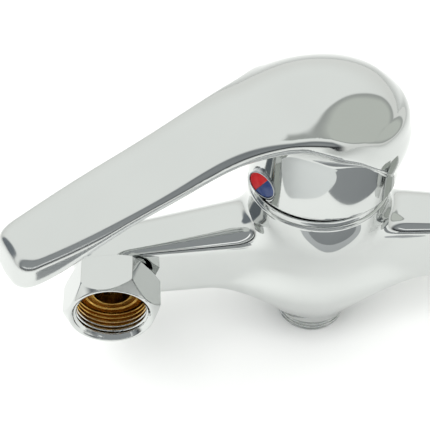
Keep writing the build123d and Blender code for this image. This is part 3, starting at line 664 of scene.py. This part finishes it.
# ------------------------------------------------------------------ materials
class Nodes:
    """Short way to build a node tree; every step returns the socket it ends in."""

    def __init__(self, tree):
        self.tree = tree

    def add(self, kind, **inputs):
        node = self.tree.nodes.new(kind)
        for key, value in inputs.items():
            node.inputs[key.replace("_", " ")].default_value = value
        return node

    def link(self, source, target):
        self.tree.links.new(source, target)

    def fill(self, socket, value):
        """Give a socket a number or colour, or link another socket to it."""
        if isinstance(value, tuple):
            socket.default_value = (*value, 1)
        elif isinstance(value, (int, float)):
            socket.default_value = value
        else:
            self.link(value, socket)

    def math(self, operation, *values):
        node = self.add("ShaderNodeMath")
        node.operation = operation
        for socket, value in zip(node.inputs, values):
            self.fill(socket, value)
        return node.outputs[0]

    def mix(self, factor, first, second):
        """Blend two colours, each given as numbers or as a socket."""
        node = self.add("ShaderNodeMix")
        node.data_type = "RGBA"
        for index, value in ((0, factor), (6, first), (7, second)):
            self.fill(node.inputs[index], value)
        return node.outputs[2]

    def spread(self, factor, low, high, start=0.3, end=0.7, kind="LINEAR"):
        """Map start..end of a factor to low..high."""
        node = self.add("ShaderNodeMapRange", From_Min=start, From_Max=end, To_Min=low, To_Max=high)
        node.interpolation_type = kind
        self.link(factor, node.inputs["Value"])
        return node.outputs["Result"]

    def step(self, value, start, end):
        """Smooth rise from 0 to 1 between start and end."""
        return self.spread(value, 0.0, 1.0, start, end, "SMOOTHSTEP")

    def split(self, vector):
        """The X, Y and Z of a vector."""
        node = self.add("ShaderNodeSeparateXYZ")
        self.link(vector, node.inputs[0])
        return node.outputs


class Surface(Nodes):
    """A new material and its node tree."""

    def __init__(self, name, metallic=0.0):
        self.material = bpy.data.materials.new(name)
        self.material.use_nodes = True
        super().__init__(self.material.node_tree)
        self.shader = self.tree.nodes["Principled BSDF"]
        self.shader.inputs["Metallic"].default_value = metallic

    def place(self):
        return self.add("ShaderNodeTexCoord").outputs["Object"]

    def noise(self, scale, detail=2.0, roughness=0.5):
        node = self.add("ShaderNodeTexNoise", Scale=scale, Detail=detail, Roughness=roughness)
        self.link(self.place(), node.inputs["Vector"])
        return node.outputs["Fac"]

    def linked(self, channel):
        """The socket that feeds one of the shader's inputs."""
        return self.shader.inputs[channel].links[0].from_socket

    def feed(self, channel, socket):
        self.link(socket, self.shader.inputs[channel])

    def bump(self, height, strength, distance):
        node = self.add("ShaderNodeBump", Strength=strength, Distance=distance)
        self.link(height, node.inputs["Height"])
        self.feed("Normal", node.outputs["Normal"])

    def inlet_distance(self):
        """Distance in metres from the nearer inlet's axis, and the place's Y."""
        x, y, z = self.split(self.place())
        across = self.math("SUBTRACT", self.math("ABSOLUTE", x), INLET_X * MM)
        square = self.math("ADD", self.math("MULTIPLY", across, across), self.math("MULTIPLY", z, z))
        return self.math("SQRT", square), y


CHROME = (0.605, 0.62, 0.61)
BRASS, DARK_BRASS = (0.80, 0.50, 0.13), (0.42, 0.24, 0.06)
WORN_LENGTH = (5, 95)  # the lever's dulling starts and ends, mm along ARM from the row's origin
PLATED_R, BARE_R = 13.6, 13.25  # the nut is fully plated outside the first radius, in mm
# the plate thins between these, mm from the nut's mouth at the thread's middle radius, less
# what the ragged edge takes; the thread's crests keep it longer
PLATE_END, BARE_START, RAGGED = 5.0, 7.5, 3.0
THREAD_MIDDLE_R, CREST_GAIN = 12.6, 2.2
BACK_FACE = (14.5, 15.1)  # the plate starts again towards the nut's back
WORN_ROUGHNESS, BARE_ROUGHNESS = 0.13, 0.16  # added to the plate's own
LATHE_PITCH = 0.35


def chrome(name):
    """Polished plate: mirror with faint smudges and the slight waviness of hand polishing."""
    m = Surface(name, metallic=1.0)
    darker = tuple(c * 0.95 for c in CHROME)
    m.feed("Base Color", m.mix(m.noise(55.0, 3.0), CHROME, darker))
    m.feed("Roughness", m.spread(m.noise(120.0, 4.0, 0.6), 0.03, 0.075))
    m.bump(m.noise(38.0, 1.0), 0.02, 0.001)
    return m


def handled_plate():
    """The handle's plate, dulled towards the lever's tip by years of hands."""
    m = chrome("handled_plate")
    x, y, _ = m.split(m.place())
    along = m.math("ADD", m.math("MULTIPLY", x, ARM.x), m.math("MULTIPLY", y, ARM.y))
    worn = m.spread(along, 0.0, WORN_ROUGHNESS, *(end * MM for end in WORN_LENGTH))
    worn = m.math("MULTIPLY", worn, m.spread(m.noise(70.0, 3.0), 0.8, 1.15))
    m.feed("Roughness", m.math("ADD", m.linked("Roughness"), worn))
    return m


def nut_plate():
    """Chrome that thins out inside the nut, where the plating bath hardly reaches, to bare brass."""
    m = chrome("nut_plate")
    radius, y = m.inlet_distance()
    inside = m.spread(radius, 1.0, 0.0, BARE_R * MM, PLATED_R * MM)
    ragged = m.math("ADD", y, m.math("MULTIPLY", m.noise(160.0, 4.0), RAGGED * MM))
    ragged = m.math("ADD", ragged, m.math("MULTIPLY", radius, CREST_GAIN))
    limits = ((edge + CREST_GAIN * THREAD_MIDDLE_R) * MM for edge in (PLATE_END, BARE_START))
    deep = m.spread(ragged, 0.0, 1.0, *limits)
    back = m.spread(y, 1.0, 0.0, *(edge * MM for edge in BACK_FACE))
    amount = m.math("MULTIPLY", m.math("MULTIPLY", inside, deep), back)
    brass = m.mix(m.noise(90.0, 4.0), BRASS, DARK_BRASS)
    m.feed("Base Color", m.mix(amount, m.linked("Base Color"), brass))
    bare = m.math("MULTIPLY", amount, BARE_ROUGHNESS)
    m.feed("Roughness", m.math("ADD", m.linked("Roughness"), bare))
    return m


def turned_brass():
    """Bare brass with fine lathe rings and darker stains."""
    m = Surface("turned_brass", metallic=1.0)
    m.feed("Base Color", m.mix(m.spread(m.noise(140.0, 5.0, 0.6), 0.0, 1.0), BRASS, DARK_BRASS))
    m.feed("Roughness", m.spread(m.noise(200.0, 3.0), 0.16, 0.32))
    radius, y = m.inlet_distance()
    turns = m.math("MULTIPLY", m.math("ADD", radius, y), 2 * math.pi / (LATHE_PITCH * MM))
    m.bump(m.math("SINE", turns), 0.15, 0.00004)
    return m


def plain(name, first, second, roughness, scale, metallic):
    """Mottled surface with a fine grain, for the inner parts and the coloured index."""
    m = Surface(name, metallic)
    m.feed("Base Color", m.mix(m.noise(scale, 4.0), first, second))
    m.feed("Roughness", m.spread(m.noise(scale * 2, 4.0), *roughness))
    m.bump(m.noise(scale * 3, 4.0), 0.1, 0.00005)
    return m


# slot, two tones, roughness from and to, grain, metallic
PLAIN_LOOKS = (
    ("index_rim", (0.50, 0.52, 0.54), (0.42, 0.44, 0.46), (0.12, 0.22), 300.0, 1.0),
    ("index_red", (0.68, 0.012, 0.018), (0.50, 0.008, 0.012), (0.12, 0.22), 300.0, 0.0),
    ("index_blue", (0.012, 0.045, 0.20), (0.008, 0.03, 0.14), (0.12, 0.22), 300.0, 0.0),
    ("spindle_brass", BRASS, DARK_BRASS, (0.2, 0.35), 250.0, 1.0),
    ("seal_rubber", (0.020, 0.020, 0.021), (0.035, 0.035, 0.036), (0.45, 0.62), 300.0, 0.0),
    ("cartridge_plastic", (0.78, 0.78, 0.73), (0.70, 0.70, 0.65), (0.35, 0.5), 300.0, 0.0),
    ("disc_ceramic", (0.86, 0.84, 0.78), (0.80, 0.78, 0.72), (0.15, 0.25), 300.0, 0.0),
    ("pin_steel", (0.56, 0.57, 0.58), (0.46, 0.47, 0.48), (0.2, 0.34), 400.0, 1.0),
)


def make_looks():
    """One material for every material slot of the row."""
    plate = chrome("polished_chrome").material
    looks = {slot: plate for slot in ("body_chrome", "trim_chrome", "outlet_chrome")}
    looks["handle_chrome"] = handled_plate().material
    looks["nut_chrome"] = nut_plate().material
    looks["bare_brass"] = turned_brass().material
    for slot, *values in PLAIN_LOOKS:
        looks[slot] = plain(slot, *values).material
    return looks


def assign(piece, material):
    piece.data.materials.clear()
    piece.data.materials.append(material)


# ------------------------------------------------------------------ studio
# camera, floor and lamp are placed in metres, the sheets of painted shade in millimetres
CAMERA_AZIMUTH, CAMERA_HEIGHT, CAMERA_ROLL = (math.radians(a) for a in (-1.01, 47.05, 3.04))
CAMERA_DISTANCE, CAMERA_LEFT, CAMERA_UP = 0.3343, 0.0372, 0.0086
FOCAL_IN_WIDTHS = 2.09302
SENSOR = 36.0


def make_camera():
    """View from the wall side and above, slightly rolled, shifted towards the left nut."""
    a, e = CAMERA_AZIMUTH, CAMERA_HEIGHT
    back = Vector((math.sin(a) * math.cos(e), -math.cos(a) * math.cos(e), math.sin(e)))
    right = (-back).cross(UP).normalized()
    down = (-back).cross(right)
    c, s = math.cos(CAMERA_ROLL), math.sin(CAMERA_ROLL)
    right, down = c * right + s * down, c * down - s * right
    target = Vector((0, AXIS_Y * MM, 0))
    eye = target + back * CAMERA_DISTANCE - Vector((CAMERA_LEFT, 0, 0)) - down * CAMERA_UP
    data = bpy.data.cameras.new("camera")
    data.sensor_width, data.lens, data.clip_start = SENSOR, FOCAL_IN_WIDTHS * SENSOR, 0.01
    camera = add_object("camera", data)
    camera.matrix_world = Matrix.Translation(eye) @ Matrix((right, -down, back)).transposed().to_4x4()
    bpy.context.scene.camera = camera


def make_sheet(name, stuff, corners, roughness, scale, tones):
    """A flat matt polygon of the studio, faintly mottled."""
    mesh = bpy.data.meshes.new(name)
    mesh.from_pydata(corners, [], [tuple(range(len(corners)))])
    sheet = add_object(name, mesh)
    m = Surface(f"{name}_{stuff}")
    m.shader.inputs["Roughness"].default_value = roughness
    m.feed("Base Color", m.mix(m.noise(scale), *tones))
    assign(sheet, m.material)
    return sheet


FLOOR_HALF = 4.0


def make_floor():
    signs = ((-1, -1), (1, -1), (1, 1), (-1, 1))
    corners = [(x * FLOOR_HALF, y * FLOOR_HALF, OUTLET_END_Z * MM) for x, y in signs]
    make_sheet("floor", "paper", corners, 0.9, 3.0, ((0.93, 0.93, 0.92), (0.91, 0.91, 0.90)))


TENT_LOW, TENT_HIGH = (0.98, 0.99, 0.96), (1.13, 1.15, 1.125)
BACKDROP = (0.745, 0.755, 0.745)  # what the camera sees beyond the floor, as light as its far end
# patches: middle azimuth and elevation, half width and half height, in radians
OPENING, ROOM_MIDDLE, ROOM_FRAME = (-0.12, 0.55, 0.9, 0.66), (0.38, 0.40, 0.41), (0.24, 0.255, 0.27)
LEAF, LEAF_MIDDLE, LEAF_EDGE = (1.66, 0.55, 0.50, 0.50), (0.72, 0.75, 0.70), (0.50, 0.52, 0.50)
SIDE_DOOR, SIDE_LIGHT = (-1.85, 0.36, 0.36, 0.5), (0.22, 0.245, 0.27)
HORIZON = (0.05, 0.054, 0.058)
STRIP_LIGHT, STRIP_ELEVATION, STRIP_HALF = (1.6, 1.6, 1.6), 0.32, 0.05


def make_world():
    """White tent with an opening towards the camera: a grey room with a darker frame round it."""
    world = bpy.data.worlds.new("studio")
    bpy.context.scene.world = world
    world.use_nodes = True
    w = Nodes(world.node_tree)
    dx, dy, dz = w.split(w.add("ShaderNodeTexCoord").outputs["Generated"])
    azimuth = w.math("ARCTAN2", dx, w.math("MULTIPLY", dy, -1.0))
    elevation = w.math("ARCSINE", dz)

    def zone(middle_azimuth, middle_elevation, half_width, half_height, power):
        """1 on the outline of a rounded patch of the tent, less inside it."""
        across = w.math("MULTIPLY", w.math("SUBTRACT", azimuth, middle_azimuth), 1 / half_width)
        upward = w.math("MULTIPLY", w.math("SUBTRACT", elevation, middle_elevation), 1 / half_height)
        powers = [w.math("POWER", w.math("ABSOLUTE", v), power) for v in (across, upward)]
        return w.math("POWER", w.math("ADD", *powers), 1 / power)

    def inverse(value):
        return w.math("SUBTRACT", 1.0, value)

    tent = w.mix(w.step(dz, 0.0, 0.5), TENT_LOW, TENT_HIGH)
    leaf = zone(*LEAF, 2.6)
    leaf_light = w.mix(w.step(leaf, 0.75, 0.97), LEAF_MIDDLE, LEAF_EDGE)
    tent = w.mix(w.step(leaf, 0.97, 1.06), leaf_light, tent)
    tent = w.mix(w.step(zone(*SIDE_DOOR, 3.0), 0.7, 1.1), SIDE_LIGHT, tent)
    opening = zone(*OPENING, 4.0)
    room = w.mix(w.step(opening, 0.78, 0.98), ROOM_MIDDLE, ROOM_FRAME)
    from_strip = w.math("ABSOLUTE", w.math("SUBTRACT", elevation, STRIP_ELEVATION))
    strip = inverse(w.step(from_strip, STRIP_HALF * 0.5, STRIP_HALF))
    strip = w.math("MULTIPLY", strip, inverse(w.step(opening, 0.6, 0.8)))
    room = w.mix(w.step(elevation, 0.05, 0.22), HORIZON, w.mix(strip, room, STRIP_LIGHT))
    colour = w.mix(w.step(opening, 0.96, 1.2), room, tent)
    camera_ray = w.add("ShaderNodeLightPath").outputs["Is Camera Ray"]
    back = w.tree.nodes["Background"]
    back.inputs["Strength"].default_value = 1.0
    w.link(w.mix(camera_ray, colour, BACKDROP), back.inputs["Color"])


CORNER_CUTS = 3
# tones of the sheets of painted shade below, each a pair: dark, grey, middle, pale
DARK_SHADE, GREY_SHADE = ((0.20, 0.21, 0.22), (0.28, 0.29, 0.30)), ((0.36, 0.37, 0.38), (0.44, 0.45, 0.46))
MIDDLE_SHADE, PALE_SHADE = ((0.44, 0.45, 0.46), (0.52, 0.53, 0.54)), ((0.70, 0.71, 0.71), (0.76, 0.77, 0.77))
# upright sheet of painted shade, for the floor far in front of the set that gets less light
UPRIGHT_SHADE_CARD = [(-70, -132, OUTLET_END_Z + 8), (90, -132, OUTLET_END_Z + 8), (90, -140, 10), (-70, -140, 10)]
# level sheets of painted shade, for the shaded floor round and under the set: name, height, tones, outline
LEVEL_SHADE_CARDS = (
    # rim shade and its darker core: painted shade of the floor under the body, seen mirrored in the housing's
    # rim
    ("rim_shade", -8, MIDDLE_SHADE,
     [(-38, -22), (-6, -38), (18, -28), (42, -14), (44, 2), (20, 2), (8, 3), (0, 0), (-14, -14)]),
    ("rim_shade_core", -7.5, DARK_SHADE,
     [(-30, -26), (-4, -38), (16, -28), (38, -16), (40, -5), (18, -8), (7, -9), (-4, -14), (-16, -22)]),
    # painted shade of the floor in front of and beside the skirt
    ("floor_shade_beside_skirt", 0, DARK_SHADE,
     [(62, 12), (45, -13), (27, -28), (10, -40), (-10, -50), (-22, -57), (-46, -58), (-62, -64),
      (-78, -84), (-70, -100), (-30, -90), (15, -78), (50, -55), (80, -20), (86, 12)]),
    # left: a paler sheet of painted shade held over the floor on the left
    ("left", 18, PALE_SHADE,
     [(-75, 6), (-40, 2), (-28, -14), (0, -26), (8, -32), (-4, -42), (-40, -38), (-75, -22)]),
)


def make_shade_card(name, corners, tones):
    """Sheet of painted shade beside the set, beyond the picture: only reflections see it."""
    corners = [[v * MM for v in corner] for corner in corners]
    shade_card = make_sheet(name, "shade_card", corners, 1.0, 9.0, tones)
    shade_card.visible_camera = shade_card.visible_diffuse = shade_card.visible_shadow = False


def softened(outline):
    """Outline with its corners cut a few times over."""
    points = np.array(outline, float)
    for _ in range(CORNER_CUTS):
        following = np.roll(points, -1, 0)
        pairs = [0.75 * points + 0.25 * following, 0.25 * points + 0.75 * following]
        points = np.stack(pairs, 1).reshape(-1, 2)
    return points


def make_shade_cards():
    """Grey sheets of painted shade in front of the set, seen only in reflections: one upright, the others
    level and held over the floor.
    """
    make_shade_card("upright", UPRIGHT_SHADE_CARD, GREY_SHADE)
    for name, z, tones, outline in LEVEL_SHADE_CARDS:
        make_shade_card(name, [(x, y, z) for x, y in softened(outline)], tones)


LAMP_PLACE, LAMP_AIM = Vector((-0.2, -0.3, 0.85)), Vector((0, 0, -0.04))
LAMP_WIDTH, LAMP_DEPTH, LAMP_POWER = 0.9, 0.7, 7.5


def make_lamp():
    """Large overhead softbox; it lights the floor but isn't itself mirrored in the chrome."""
    data = bpy.data.lights.new("softbox", "AREA")
    data.shape, data.size, data.size_y, data.energy = "RECTANGLE", LAMP_WIDTH, LAMP_DEPTH, LAMP_POWER
    lamp = add_object("softbox", data)
    lamp.location = LAMP_PLACE
    lamp.rotation_euler = (LAMP_AIM - LAMP_PLACE).to_track_quat("-Z", "Y").to_euler()
    lamp.visible_glossy = False


# ------------------------------------------------------------------ the whole scene
bpy.context.scene.view_settings.view_transform = "Standard"
make_camera()

LOOKS = make_looks()
for slot, pieces in (
    ("handle_chrome", [make_handle()]),
    ("body_chrome", [make_body()]),
    ("outlet_chrome", [make_nipple()]),
    ("trim_chrome", [make_trim_ring()]),
    ("nut_chrome", make_nuts()),
    ("bare_brass", [make_tail(side) for side in (-1, 1)]),
):
    for piece in pieces:
        assign(piece, LOOKS[slot])
for slot, piece in zip(("index_rim", "index_red", "index_blue"), make_index()):
    assign(piece, LOOKS[slot])
for entry in frame["record"]["subparts"]:
    assign(frame["nodes"][entry["node"]], LOOKS[entry["material_slot"]])

make_floor()
make_world()
make_shade_cards()
make_lamp()
